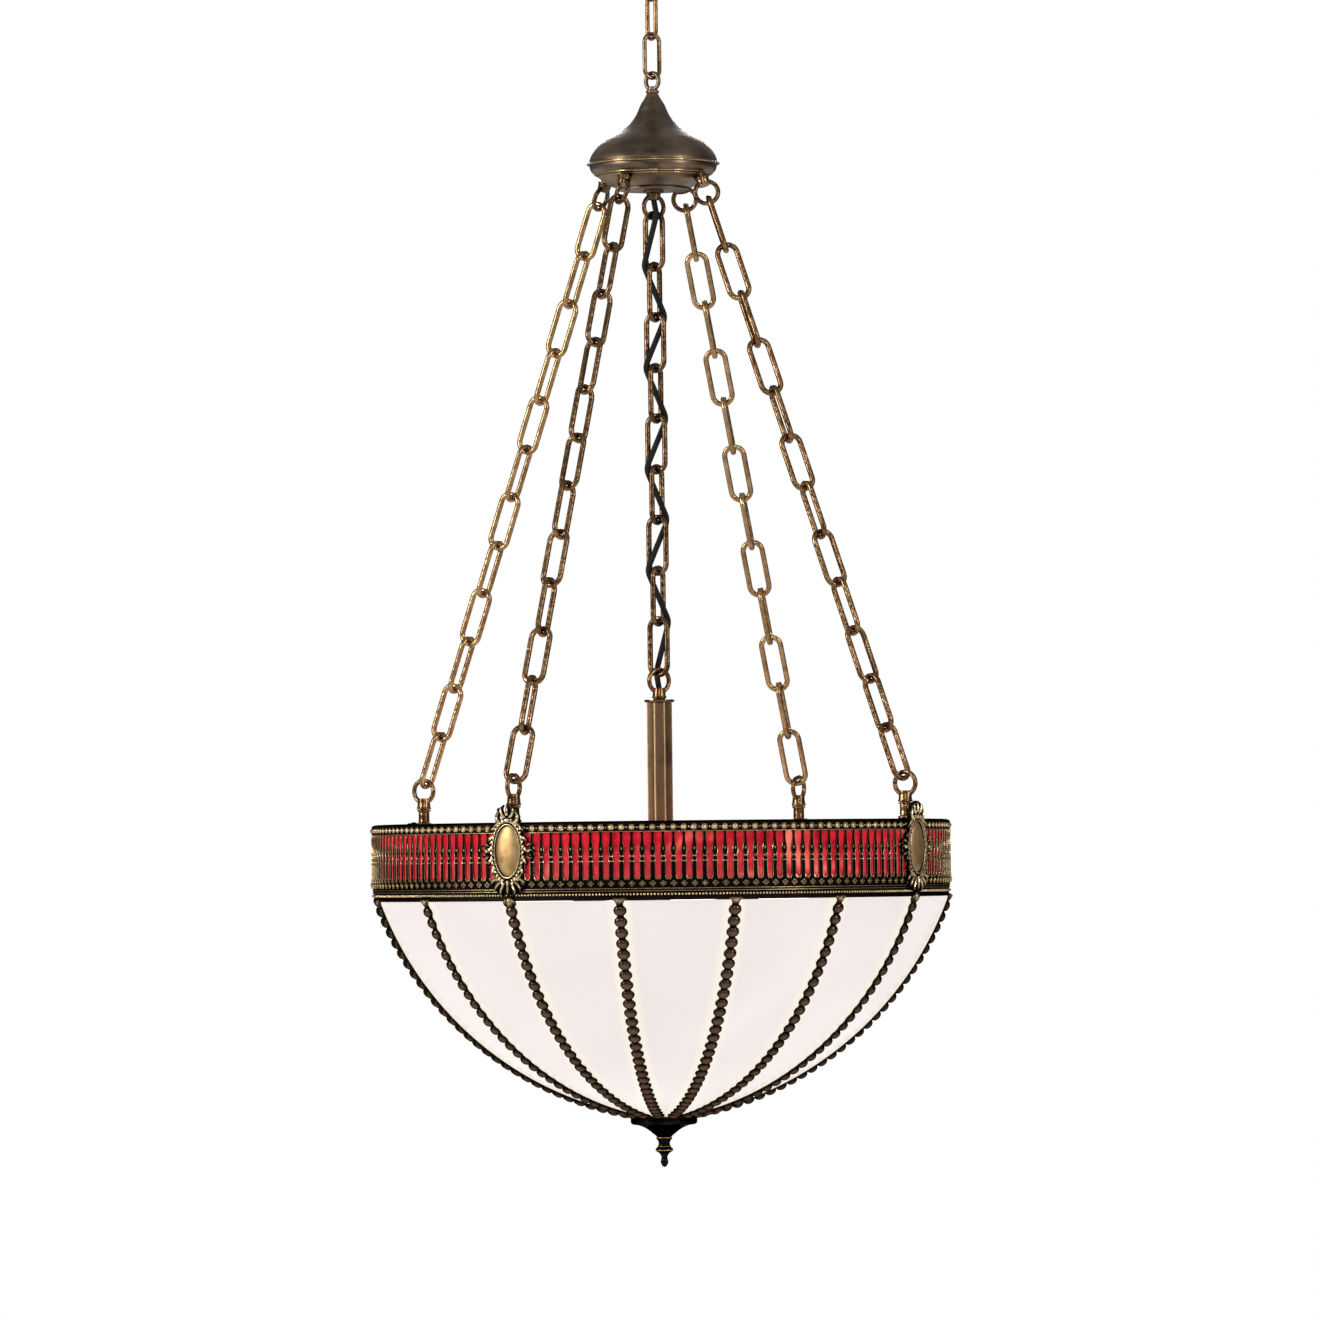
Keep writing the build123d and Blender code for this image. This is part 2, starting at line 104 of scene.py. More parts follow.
def grid_faces(rows, cols, wrap_rows=False, wrap_cols=False):
    """Four-sided faces over a grid of points, closed on itself along either way."""
    faces = []
    for i in range(rows if wrap_rows else rows - 1):
        for j in range(cols if wrap_cols else cols - 1):
            a = i * cols + j
            b = i * cols + (j + 1) % cols
            c = ((i + 1) % rows) * cols
            faces.append((a, b, c + (j + 1) % cols, c + j))
    return faces


def joined(parts):
    """Several (points, faces) made one."""
    points, faces, start = [], [], 0
    for p, f in parts:
        points.append(p)
        faces += [tuple(i + start for i in face) for face in f]
        start += len(p)
    return np.vstack(points), faces


def copies(shape, places):
    """The shape moved by each of the places, which are functions of its points."""
    points, faces = shape
    return joined([(place(points), faces) for place in places])


def lathe(profile, segments=360):
    """A closed profile of (radius, rise) turned about the axis."""
    profile = np.array(profile, dtype=float)
    turn = np.linspace(0, 2 * math.pi, segments, endpoint=False)
    x = np.outer(np.cos(turn), profile[:, 0])
    y = np.outer(np.sin(turn), profile[:, 0])
    z = np.tile(profile[:, 1], (segments, 1))
    points = np.stack([x, y, z], axis=2).reshape(-1, 3)
    return points, grid_faces(segments, len(profile), True, True)


def dome(across, along, height, sides=10, rings=4):
    """A bead in (u, rise, w): half an ellipsoid standing on w = 0."""
    last_level = 72
    levels = np.radians(np.linspace(0, last_level, rings))
    points = []
    for level in levels:
        for k in range(sides):
            a = 2 * math.pi * k / sides
            c = math.cos(level)
            points.append((across * c * math.cos(a), along * c * math.sin(a), height * math.sin(level)))
    faces = grid_faces(rings, sides, False, True)
    points.append((0, 0, height))
    top = len(points) - 1
    last = (rings - 1) * sides
    faces += [(last + k, last + (k + 1) % sides, top) for k in range(sides)]
    faces.append(tuple(range(sides))[::-1])
    return np.array(points, dtype=float), faces


def band_lean(rise):
    """How far in the band's wall lies at a rise: its lower part tapers to the foot."""
    return -TAPER_DEEP * np.clip((TAPER_RISE - rise) / TAPER_RISE, 0, 1) ** TAPER_POWER


def on_band(turn, radius=BAND_R, lean=True):
    """Places (u, rise, w) points on the band at a turn: u along it and w out of it."""
    def place(points):
        angle = turn + points[:, 0] / radius
        reach = radius + points[:, 2]
        if lean:
            reach = reach + band_lean(points[:, 1])
        return np.stack([reach * np.cos(angle), reach * np.sin(angle), points[:, 1]], axis=1)
    return place


def shifted(shape, u, rise, w=0.0):
    """The shape moved along the band, up it and out of it."""
    points, faces = shape
    return points + np.array([u, rise, w]), faces


def mirrored(shape):
    """The shape's other half, its sides swapped about u = 0."""
    points, faces = shape
    return points * np.array([-1, 1, 1]), [face[::-1] for face in faces]


def smooth_path(corners, count):
    """Points along a smooth curve through the corners."""
    p = np.array(corners, dtype=float)
    p = np.vstack([2 * p[0] - p[1], p, 2 * p[-1] - p[-2]])
    out = []
    for s in np.linspace(0, len(corners) - 1, count):
        i = min(int(s), len(corners) - 2)
        t = s - i
        a, b, c, d = p[i], p[i + 1], p[i + 2], p[i + 3]
        out.append(0.5 * (2 * b + (c - a) * t + (2 * a - 5 * b + 4 * c - d) * t ** 2
                          + (3 * b - a - 3 * c + d) * t ** 3))
    return np.array(out)


def stroke(corners, wide, tip=0.25, high=0.75, base=0.6, peak=0.35, count=14, sides=8):
    """A raised leaf or scroll: a rounded ridge in (u, rise, w) along a smooth path. It
    is widest at the peak share of its length and narrows to the tip share."""
    path = smooth_path(corners, count)
    along = np.gradient(path, axis=0)
    along /= np.linalg.norm(along, axis=1)[:, None] + 1e-9
    across = np.stack([along[:, 1], -along[:, 0]], axis=1)
    s = np.linspace(0, 1, count)
    swell = np.where(s < peak, np.sin(0.5 * math.pi * (0.35 + 0.65 * s / peak)),
                     tip + (1 - tip) * np.cos(0.5 * math.pi * (s - peak) / (1 - peak)))
    points = []
    for i in range(count):
        r = 0.5 * wide * swell[i]
        for k in range(sides):
            a = 2 * math.pi * k / sides
            u, h = path[i] + across[i] * r * math.cos(a)
            points.append((u, h, base + 2 * high * r * math.sin(a)))
    faces = grid_faces(count, sides, False, True)
    faces.append(tuple(range(sides))[::-1])
    faces.append(tuple((count - 1) * sides + k for k in range(sides)))
    return np.array(points), faces


def oval_ring(across, along, thick, rise, base=0.8, high=1.0, segments=64, sides=8):
    """A round wire bent to an oval about u = 0 at a rise."""
    points = []
    for i in range(segments):
        a = 2 * math.pi * i / segments
        n = np.array([along * math.cos(a), across * math.sin(a)])
        n /= np.linalg.norm(n)
        for k in range(sides):
            b = 2 * math.pi * k / sides
            points.append((across * math.cos(a) + n[0] * thick * math.cos(b),
                           rise + along * math.sin(a) + n[1] * thick * math.cos(b),
                           base + high * thick * math.sin(b)))
    return np.array(points), grid_faces(segments, sides, True, True)


# Materials

def new_material(name):
    """An empty node material, with its nodes and links."""
    material = bpy.data.materials.new(name)
    material.use_nodes = True
    nodes = material.node_tree.nodes
    nodes.clear()
    return material, nodes, material.node_tree.links


def node(nodes, kind, **settings):
    made = nodes.new(kind)
    for key, value in settings.items():
        setattr(made, key, value)
    return made


def noise(nodes, links, where, scale, detail=3.0, rough=0.55, distortion=0.0):
    made = node(nodes, "ShaderNodeTexNoise")
    made.inputs["Scale"].default_value = scale
    made.inputs["Detail"].default_value = detail
    made.inputs["Roughness"].default_value = rough
    made.inputs["Distortion"].default_value = distortion
    links.new(where, made.inputs["Vector"])
    return made.outputs["Fac"]


def ramp(nodes, links, value, stops):
    """Colours blended between stops, which are (place, colour) pairs."""
    made = node(nodes, "ShaderNodeValToRGB")
    elements = made.color_ramp.elements
    while len(elements) < len(stops):
        elements.new(0.5)
    for element, (place, colour) in zip(elements, stops):
        element.position = place
        element.color = tuple(colour) + (1,)
    links.new(value, made.inputs["Fac"])
    return made.outputs["Color"]


def spread(nodes, links, value, low, high, to_low=0.0, to_high=1.0):
    """A value between low and high, eased over to another range."""
    made = node(nodes, "ShaderNodeMapRange", interpolation_type="SMOOTHSTEP")
    made.inputs["From Min"].default_value = low
    made.inputs["From Max"].default_value = high
    made.inputs["To Min"].default_value = to_low
    made.inputs["To Max"].default_value = to_high
    links.new(value, made.inputs["Value"])
    return made.outputs["Result"]


def mix(nodes, links, share, a, b):
    """Colour a at a share of 0, colour b at 1."""
    made = node(nodes, "ShaderNodeMix", data_type="RGBA")
    links.new(share, made.inputs["Factor"])
    for value, socket in ((a, made.inputs[6]), (b, made.inputs[7])):
        if isinstance(value, tuple):
            socket.default_value = value + (1,)
        else:
            links.new(value, socket)
    return made.outputs[2]


def bump(nodes, links, height, strength, distance):
    made = node(nodes, "ShaderNodeBump")
    made.inputs["Strength"].default_value = strength
    made.inputs["Distance"].default_value = distance
    links.new(height, made.inputs["Height"])
    return made.outputs["Normal"]


def maths(nodes, links, operation, a, b=0.0):
    made = node(nodes, "ShaderNodeMath", operation=operation)
    for value, socket in ((a, made.inputs[0]), (b, made.inputs[1])):
        if isinstance(value, (int, float)):
            socket.default_value = value
        else:
            links.new(value, socket)
    return made.outputs[0]


def separated(nodes, links, spot):
    """The X, Y and Z of a spot."""
    parts = node(nodes, "ShaderNodeSeparateXYZ")
    links.new(spot, parts.inputs["Vector"])
    return parts.outputs["X"], parts.outputs["Y"], parts.outputs["Z"]


def axis_reach(nodes, links, x, y):
    """Distance from the lamp's axis."""
    squares = maths(nodes, links, "ADD", maths(nodes, links, "MULTIPLY", x, x),
                    maths(nodes, links, "MULTIPLY", y, y))
    return maths(nodes, links, "SQRT", squares)


def taper_undone(nodes, links, reach, z):
    """Reach with the taper of the band's lower part added back."""
    below = maths(nodes, links, "SUBTRACT", (FOOT_Z + TAPER_RISE) * MM, z)
    share = maths(nodes, links, "MAXIMUM", maths(nodes, links, "DIVIDE", below, TAPER_RISE * MM), 0.0)
    curve = maths(nodes, links, "POWER", share, TAPER_POWER)
    return maths(nodes, links, "ADD", reach, maths(nodes, links, "MULTIPLY", curve, TAPER_DEEP * MM))


def arc_reach(nodes, links, reach, z):
    """Distance from the centre of the bowl's arc."""
    out = maths(nodes, links, "SUBTRACT", reach, ARC_CENTRE_R * MM)
    down = maths(nodes, links, "SUBTRACT", z, (ARC_CENTRE_RISE + FOOT_Z) * MM)
    return axis_reach(nodes, links, out, down)


def rubbed_and_highlit(nodes, links, spot, kind, low, high):
    """Where the ornament stands proud, and so wears bright and takes a painted highlight: from a low
    to a high reach, in millimetres, out from the lamp's axis, or for a rib from its arc's centre."""
    x, y, z = separated(nodes, links, spot)
    reach = axis_reach(nodes, links, x, y)
    if kind == "band":
        reach = taper_undone(nodes, links, reach, z)
    if kind == "rib":
        reach = arc_reach(nodes, links, reach, z)
    return spread(nodes, links, reach, low * MM, high * MM)


def hammered(nodes, links, spot, dents, high, under):
    """A skin of small round dents over a finer relief."""
    beaten = node(nodes, "ShaderNodeTexVoronoi", feature="SMOOTH_F1")
    beaten.inputs["Scale"].default_value = dents
    links.new(spot, beaten.inputs["Vector"])
    skin = node(nodes, "ShaderNodeBump")
    skin.inputs["Strength"].default_value = 0.55
    skin.inputs["Distance"].default_value = high
    links.new(beaten.outputs["Distance"], skin.inputs["Height"])
    links.new(under, skin.inputs["Normal"])
    return skin.outputs["Normal"]


def to_surface(nodes, links, shader):
    out = node(nodes, "ShaderNodeOutputMaterial")
    links.new(shader.outputs["BSDF"], out.inputs["Surface"])


def aged_metal(name, dark, mid, light, rough=(0.3, 0.5), patina=45.0, grain=700.0, dents=0.0,
               proud=None, stretch=(1, 1, 1), beaten_high=0.0006, edge=1.0):
    """Old brass: clouds of patina, fine scratches and, with dents, a hammered skin. With proud,
    its raised parts take the light colour, as wear from rubbing and as a painted highlight.
    Stretch draws the grain out along a way of the piece, and a low edge keeps soot-dark
    metal from shining when seen along its face."""
    material, nodes, links = new_material(name)
    spot = node(nodes, "ShaderNodeTexCoord").outputs["Object"]
    scaled = node(nodes, "ShaderNodeMapping")
    scaled.inputs["Scale"].default_value = stretch
    links.new(spot, scaled.inputs["Vector"])
    clouds = noise(nodes, links, spot, patina, 5.0, 0.6)
    fine = noise(nodes, links, scaled.outputs["Vector"], grain, 3.0, 0.6)
    base = ramp(nodes, links, clouds, [(0.32, dark), (0.52, mid), (0.78, mid if proud else light)])
    streaks = ramp(nodes, links, fine, [(0.35, tuple(0.72 * c for c in dark)), (0.7, mid)])
    blended = mix(nodes, links, spread(nodes, links, fine, 0.35, 0.75, 0.1, 0.5), base, streaks)
    colour = blended
    shine = spread(nodes, links, fine, 0.25, 0.75, rough[0], rough[1])
    if proud:
        # The raised parts take the light colour in patches: wear from rubbing, and a painted highlight.
        patches = spread(nodes, links, clouds, 0.30, 0.62, 0.7, 1.0)
        wear_and_highlight = maths(nodes, links, "MULTIPLY", rubbed_and_highlit(nodes, links, spot, *proud), patches)
        colour = mix(nodes, links, wear_and_highlight, blended, light)
        sooty = spread(nodes, links, wear_and_highlight, 0.0, 1.0, 0.22, 0.0)
        shine = maths(nodes, links, "ADD", shine, sooty)
    shader = node(nodes, "ShaderNodeBsdfPrincipled")
    shader.inputs["Metallic"].default_value = 1.0
    links.new(colour, shader.inputs["Base Color"])
    links.new(shine, shader.inputs["Roughness"])
    shader.inputs["Specular Tint"].default_value = (edge, edge, edge, 1)
    relief = bump(nodes, links, fine, 0.25, 0.0002)
    if dents:
        relief = hammered(nodes, links, spot, dents, beaten_high, relief)
    links.new(relief, shader.inputs["Normal"])
    to_surface(nodes, links, shader)
    return material


def opal_glass():
    """Lit opal glass: pinkish white in the middle of a panel, with a brighter, creamier glow
    painted along its edges by the ribs.
    """
    material, nodes, links = new_material("lit_opal_glass")
    spot = node(nodes, "ShaderNodeTexCoord").outputs["Object"]
    x, y = separated(nodes, links, spot)[:2]
    turn = maths(nodes, links, "ARCTAN2", y, x)
    from_rib = maths(nodes, links, "MULTIPLY", maths(nodes, links, "PINGPONG", turn, STEP / 2),
                     axis_reach(nodes, links, x, y))
    # A brighter, creamier glow painted along the panel's edges beside the ribs.
    rib_edge_glow = spread(nodes, links, from_rib, 0.004, 0.013, 1.0, 0.0)
    clouds = noise(nodes, links, spot, 7.0, 4.0, 0.5, 0.6)
    pale = ramp(nodes, links, clouds, [(0.3, (0.86, 0.775, 0.76)), (0.7, (0.90, 0.835, 0.82))])
    lit = mix(nodes, links, rib_edge_glow, pale, (1.0, 0.92, 0.78))
    body = ramp(nodes, links, clouds, [(0.3, (0.10, 0.092, 0.088)), (0.7, (0.13, 0.12, 0.115))])
    shader = node(nodes, "ShaderNodeBsdfPrincipled")
    shader.inputs["Roughness"].default_value = 0.32
    shader.inputs["Coat Weight"].default_value = 0.08
    shader.inputs["Coat Roughness"].default_value = 0.12
    shader.inputs["Emission Strength"].default_value = 0.87
    links.new(body, shader.inputs["Base Color"])
    links.new(lit, shader.inputs["Emission Color"])
    ripple = noise(nodes, links, spot, 22.0, 2.0)
    links.new(bump(nodes, links, ripple, 0.08, 0.001), shader.inputs["Normal"])
    to_surface(nodes, links, shader)
    return material


def ruby_glass():
    """Lit red glass with darker mottling, and a few paler, brighter streaks that are painted
    highlights.
    """
    material, nodes, links = new_material("lit_ruby_glass")
    spot = node(nodes, "ShaderNodeTexCoord").outputs["Object"]
    clouds = noise(nodes, links, spot, 95.0, 4.0, 0.6, 0.8)
    wide = noise(nodes, links, spot, 16.0, 3.0, 0.5, 0.4)
    red = ramp(nodes, links, clouds, [(0.3, (0.22, 0.003, 0.010)), (0.5, (0.40, 0.008, 0.018)),
                                      (0.72, (0.56, 0.020, 0.030))])
    # Paler, brighter streaks scattered by noise: painted highlights on the glass.
    pale = spread(nodes, links, wide, 0.54, 0.70, 0.0, 0.8)
    colour = mix(nodes, links, pale, red, (0.90, 0.20, 0.14))
    shader = node(nodes, "ShaderNodeBsdfPrincipled")
    shader.inputs["Roughness"].default_value = 0.12
    shader.inputs["Emission Strength"].default_value = 0.60
    links.new(colour, shader.inputs["Base Color"])
    links.new(colour, shader.inputs["Emission Color"])
    links.new(bump(nodes, links, clouds, 0.15, 0.0006), shader.inputs["Normal"])
    to_surface(nodes, links, shader)
    return material


def dull_material(name, dark, light, rough, scale, glow=0.0, relief=0.2):
    """A plain unmetallic surface with fine mottling, and a glow if it is lit."""
    material, nodes, links = new_material(name)
    spot = node(nodes, "ShaderNodeTexCoord").outputs["Object"]
    grain = noise(nodes, links, spot, scale, 4.0)
    colour = ramp(nodes, links, grain, [(0.35, dark), (0.7, light)])
    shader = node(nodes, "ShaderNodeBsdfPrincipled")
    links.new(colour, shader.inputs["Base Color"])
    links.new(spread(nodes, links, grain, 0.3, 0.7, rough, rough + 0.12), shader.inputs["Roughness"])
    links.new(bump(nodes, links, grain, relief, 0.0003), shader.inputs["Normal"])
    if glow:
        links.new(colour, shader.inputs["Emission Color"])
        shader.inputs["Emission Strength"].default_value = glow
    to_surface(nodes, links, shader)
    return material


HUB = aged_metal("hub_bronze", (0.062, 0.045, 0.033), (0.20, 0.145, 0.10), (0.42, 0.31, 0.20),
                 (0.28, 0.50), 24.0, 300.0, stretch=(0.08, 0.08, 1.8))
CHAIN = aged_metal("chain_brass", (0.10, 0.055, 0.024), (0.25, 0.145, 0.068), (0.58, 0.36, 0.18),
                   (0.18, 0.36), 80.0, 900.0, dents=240.0, beaten_high=0.0009)
# A lighter copy of the chain brass for the rear chains: painted light.
LIT_CHAIN = aged_metal("lit_chain_brass", (0.22, 0.13, 0.055), (0.48, 0.31, 0.15), (0.80, 0.58, 0.32),
                        (0.20, 0.38), 80.0, 900.0, dents=240.0, beaten_high=0.0009)
# A darker copy of the chain brass for the centre chain, the hub's loops and the stem's flange: painted
# shade.
SHADED_CHAIN = aged_metal("shaded_chain_brass", (0.06, 0.035, 0.018), (0.16, 0.095, 0.050),
                        (0.45, 0.29, 0.15), (0.18, 0.36), 80.0, 900.0, dents=240.0, beaten_high=0.0009)
# The stem's fillets take the pale gold as painted highlight lines, with some wear from rubbing.
STEM = aged_metal("stem_brass", (0.085, 0.052, 0.030), (0.20, 0.125, 0.072), (0.90, 0.68, 0.38),
                  (0.30, 0.46), 45.0, 600.0, proud=("axis", 11.50, 11.76), stretch=(1, 1, 0.2))
# Near-black save on the raised parts of the columns and rings, which take pale gold as wear and as a
# painted highlight.
BAND = aged_metal("band_brass", (0.004, 0.003, 0.003), (0.009, 0.007, 0.005), (0.78, 0.58, 0.33),
                  (0.20, 0.38), 60.0, 900.0, proud=("band", 253.42, 253.72), edge=0.15)
PLAQUE = aged_metal("plaque_brass", (0.26, 0.15, 0.06), (0.52, 0.34, 0.155), (0.80, 0.58, 0.31),
                    (0.36, 0.55), 50.0, 700.0, stretch=(1, 1, 0.06))
# The tops of the beads take a brighter brown, as wear and as a painted highlight.
RIB = aged_metal("rib_bronze", (0.006, 0.005, 0.004), (0.016, 0.011, 0.008), (0.13, 0.082, 0.055),
                 (0.12, 0.26), 60.0, 900.0, proud=("rib", 298.9, 301.6), edge=0.2)
FINIAL = aged_metal("finial_bronze", (0.004, 0.004, 0.004), (0.010, 0.009, 0.008), (0.03, 0.024, 0.016),
                    (0.16, 0.30), 80.0, 900.0, edge=0.06)
# Bright gold for the fine rings along ridges: the ridges' highlights painted into the metal.
HIGHLIGHT_GOLD = aged_metal("highlight_gold_line", (0.30, 0.19, 0.07), (0.55, 0.38, 0.16), (0.85, 0.66, 0.36),
                  (0.16, 0.30), 80.0, 900.0)
# Near-black save on the highest leaves, scrolls and pearls, which take pale gold as wear and as a
# painted highlight.
BAND_GOLD = aged_metal("cartouche_brass", (0.005, 0.004, 0.003), (0.014, 0.010, 0.007),
                       (0.92, 0.72, 0.44), (0.16, 0.32), 60.0, 900.0, proud=("axis", 256.75, 258.0),
                       edge=0.15)
# The raised part of each leaf takes a paler brown, as wear and as a painted highlight.
RIB_LEAF = aged_metal("leaf_bronze", (0.012, 0.009, 0.006), (0.05, 0.035, 0.022), (0.45, 0.32, 0.18),
                      (0.22, 0.40), 60.0, 900.0, proud=("axis", 254.3, 256.0))
STEEL = aged_metal("fixing_steel", (0.35, 0.35, 0.34), (0.55, 0.55, 0.53), (0.72, 0.72, 0.70),
                   (0.3, 0.5))
OPAL = opal_glass()
RUBY = ruby_glass()
CORD = dull_material("cord_black", (0.001, 0.001, 0.001), (0.004, 0.004, 0.004), 0.8, 900.0)
SOCKET = dull_material("socket_black", (0.012, 0.012, 0.012), (0.04, 0.04, 0.04), 0.4, 300.0)
BULB = dull_material("bulb_frost", (0.95, 0.88, 0.78), (1.0, 0.96, 0.9), 0.5, 60.0, glow=1.6,
                     relief=0.05)


def dress_cad_nodes():
    """The CAD nodes that stay in view take their materials from the record's slots; some chain
    parts instead take a lighter copy of the chain brass as painted light, and some a darker copy
    as painted shade.
    """
    looks = {"hub_bronze": HUB, "chain_brass": CHAIN, "stem_brass": STEM, "band_brass": BAND,
             "plaque_brass": PLAQUE, "rib_bronze": RIB, "finial_bronze": FINIAL, "panel_glass": OPAL,
             "red_glass": RUBY, "cord_black": CORD, "fixing_steel": STEEL, "socket_black": SOCKET,
             "bulb_white": BULB}
    # Lit and shaded copies of the chain brass: the rear chains lighter as painted light, the centre
    # chain, hub loops and stem flange darker as painted shade.
    chain_lit_and_shaded = {"chain_left": LIT_CHAIN, "chain_back": LIT_CHAIN, "chain_front": CHAIN,
              "centre_chain": SHADED_CHAIN, "hub_arm_loops": SHADED_CHAIN, "hub_centre_loop": SHADED_CHAIN,
              "band_loops": CHAIN, "band_posts": CHAIN, "stem_loop": CHAIN, "stem_flange": SHADED_CHAIN}
    for part in frame["record"]["subparts"]:
        mesh = frame["nodes"][part["node"]].data
        mesh.materials.clear()
        mesh.materials.append(chain_lit_and_shaded.get(part["node"], looks[part["material_slot"]]))


# The band

def column_half(rise):
    """Half width of a column: flared foot, shaft, ring, knob, leaf, thin neck and head."""
    outline = [(17.0, 3.4), (18.6, 2.7), (20.5, 2.2), (31.0, 2.15), (32.6, 2.3), (33.8, 2.6),
               (35.0, 2.2), (36.2, 1.35), (37.2, 1.8), (38.2, 1.4), (39.6, 2.3), (42.0, 2.75),
               (45.0, 2.3), (48.5, 1.5), (53.0, 0.95), (56.0, 1.1), (58.0, 2.2)]
    rises, halves = zip(*outline)
    return np.interp(rise, rises, halves)


def hump(rise, middle, reach):
    """1 at the middle rise, down to 0 at the reach either side of it."""
    return max(0.0, 1 - abs(rise - middle) / reach)


def column():
    """One baluster: a leaf-shaped drop with raised edges over a ribbed shaft."""
    rises = np.concatenate([np.linspace(17.0, 31.0, 8), np.linspace(32.0, 41.0, 19),
                            np.linspace(42.5, 58.0, 11)])
    across = np.array([-1.0, -0.98, -0.86, -0.62, -0.2, 0.2, 0.62, 0.86, 0.98, 1.0])
    back, side, edge, hollow = -0.3, 0.4, 0.75, 0.1
    points = []
    for rise in rises:
        half = column_half(rise)
        inner = hollow + 0.7 * min(1.0, hump(rise, 33.0, 0.8) + hump(rise, 37.2, 0.8))
        vein = inner + 0.6 * hump(rise, 43.5, 3.0)
        depth = [back, side, edge, inner, vein, vein, inner, edge, side, back]
        points += [(half * a, rise, d) for a, d in zip(across, depth)]
    faces = grid_faces(len(rises), len(across))
    return np.array(points), [face[::-1] for face in faces]


def diamond():
    """A small raised diamond with a bead in it."""
    frame_r, tube_r, sides = 2.5, 0.42, 6
    corners = [(frame_r, 0), (0, frame_r * 0.85), (-frame_r, 0), (0, -frame_r * 0.85)]
    points = []
    for x, y in corners:
        n = np.array([x, y]) / math.hypot(x, y)
        for k in range(sides):
            a = 2 * math.pi * k / sides
            out = tube_r * 1.3 * math.cos(a)
            points.append((x + n[0] * out, y + n[1] * out, 0.5 + tube_r * 1.4 * math.sin(a)))
    ring = np.array(points), grid_faces(4, sides, True, True)
    return joined([ring, dome(0.85, 0.85, 1.1, 8, 3)])


def scallop():
    """The raised edge round a slot's foot."""
    radius, middle = 2.35, 20.2
    turns = np.radians(np.linspace(180, 360, 7))
    corners = [(radius * math.cos(a), middle + radius * math.sin(a)) for a in turns]
    return stroke(corners, 1.0, tip=0.95, high=0.9, base=0.3, peak=0.5, count=11, sides=6)


def band_foot():
    """The turned lower part: three fine rings, and the wall up to the slots."""
    return lathe([(251.0, 0.2), (251.6, 0.0), (252.1, 0.3), (252.25, 1.0), (252.15, 2.0),
                  (251.9, 2.6), (251.8, 3.0), (251.9, 6.9), (252.4, 7.2), (253.1, 7.6),
                  (253.1, 8.0), (252.4, 8.4), (252.4, 9.2), (253.2, 9.6), (253.2, 10.0),
                  (252.6, 10.4), (252.6, 11.0), (252.9, 17.5), (252.1, 17.5), (251.0, 10.0)])


def band_head():
    """The turned upper part: two fine rings, and the rim turned in over the glass."""
    return lathe([(251.4, 57.6), (253.2, 57.6), (253.7, 57.9), (253.6, 58.3), (253.1, 58.6),
                  (253.1, 64.5), (253.5, 64.8), (253.2, 65.4), (252.4, 66.2), (250.4, 66.9),
                  (247.8, 67.1), (238.0, 67.1), (238.0, 65.6), (247.6, 65.4), (250.6, 64.2)])


def build_band():
    """The pierced band: turned head and foot, and its columns with their ornament."""
    bead_rise, diamond_rise, seed_rise = 61.7, 14.1, 5.0
    turns = [2 * math.pi * (i + 0.5) / PERIODS for i in range(PERIODS)]
    half = math.pi / PERIODS
    columns = [on_band(t) for t in turns]
    gaps = [on_band(t + half) for t in turns]
    seeds = [on_band(2 * math.pi * i / (3 * PERIODS)) for i in range(3 * PERIODS)]
    rim = oval_ring(2.7, 2.35, 0.32, bead_rise, 0.3, 1.2, 14, 5)
    pieces = {
        "band_columns": [copies(column(), columns)],
        "band_mouldings": [
            band_foot(),
            band_head(),
            copies(shifted(dome(2.4, 2.1, 1.7, 12, 4), 0, bead_rise, -0.1), columns),
            copies(rim, columns),
            copies(shifted(dome(0.85, 0.85, 0.9, 8, 3), 0, bead_rise, 0.2), gaps),
        ],
        "band_foot_ornament": [
            copies(shifted(diamond(), 0, diamond_rise, 0.8), columns),
            copies(scallop(), gaps),
            copies(shifted(dome(1.15, 1.2, 1.2, 8, 3), 0, seed_rise, 0.35), seeds),
        ],
    }
    for name, parts in pieces.items():
        points, faces = joined(parts)
        make_piece(name, points, faces, BAND, "bowl", ("band_shell", "band_top_rim"), 50)


def build_red_glass():
    """A ring of glass close behind the columns."""
    profile = [(252.6, 17.0), (252.6, 57.6), (249.0, 58.2), (247.4, 58.2), (246.6, 57.4), (246.6, 8.8),
               (249.4, 8.8)]
    points, faces = lathe(profile)
    make_piece("red_liner", points, faces, RUBY, "bowl", ("red_glass",))


# The cartouches

def cartouche_scrolls():
    """One half of the strokes round the oval, over and under it, and the side flower."""
    return [
        stroke([(2.0, 66.0), (7.5, 66.6), (12.4, 63.4), (14.6, 58.2)], 3.6, 0.5),
        stroke([(2.0, 19.0), (7.5, 18.4), (12.4, 21.6), (14.6, 26.8)], 3.6, 0.5),
        stroke([(1.5, 17.4), (5.2, 12.6), (7.0, 7.2), (4.6, 4.6)], 3.6, 0.4),
        stroke([(3.5, 18.0), (9.0, 15.0), (12.2, 10.6), (10.0, 7.8)], 3.5, 0.4),
        stroke([(6.5, 19.0), (12.6, 18.4), (16.0, 15.4), (14.2, 12.6)], 3.4, 0.4),
        stroke([(18.0, 46.4), (21.8, 48.6), (26.2, 46.4)], 3.2, 0.3),
        stroke([(18.0, 39.0), (21.8, 36.6), (26.2, 38.8)], 3.2, 0.3),
        stroke([(17.6, 42.7), (22.0, 43.6), (26.8, 42.4)], 3.4, 0.35),
        shifted(dome(1.7, 1.7, 2.3, 8, 3), 20.6, 42.7, 1.6),
    ]


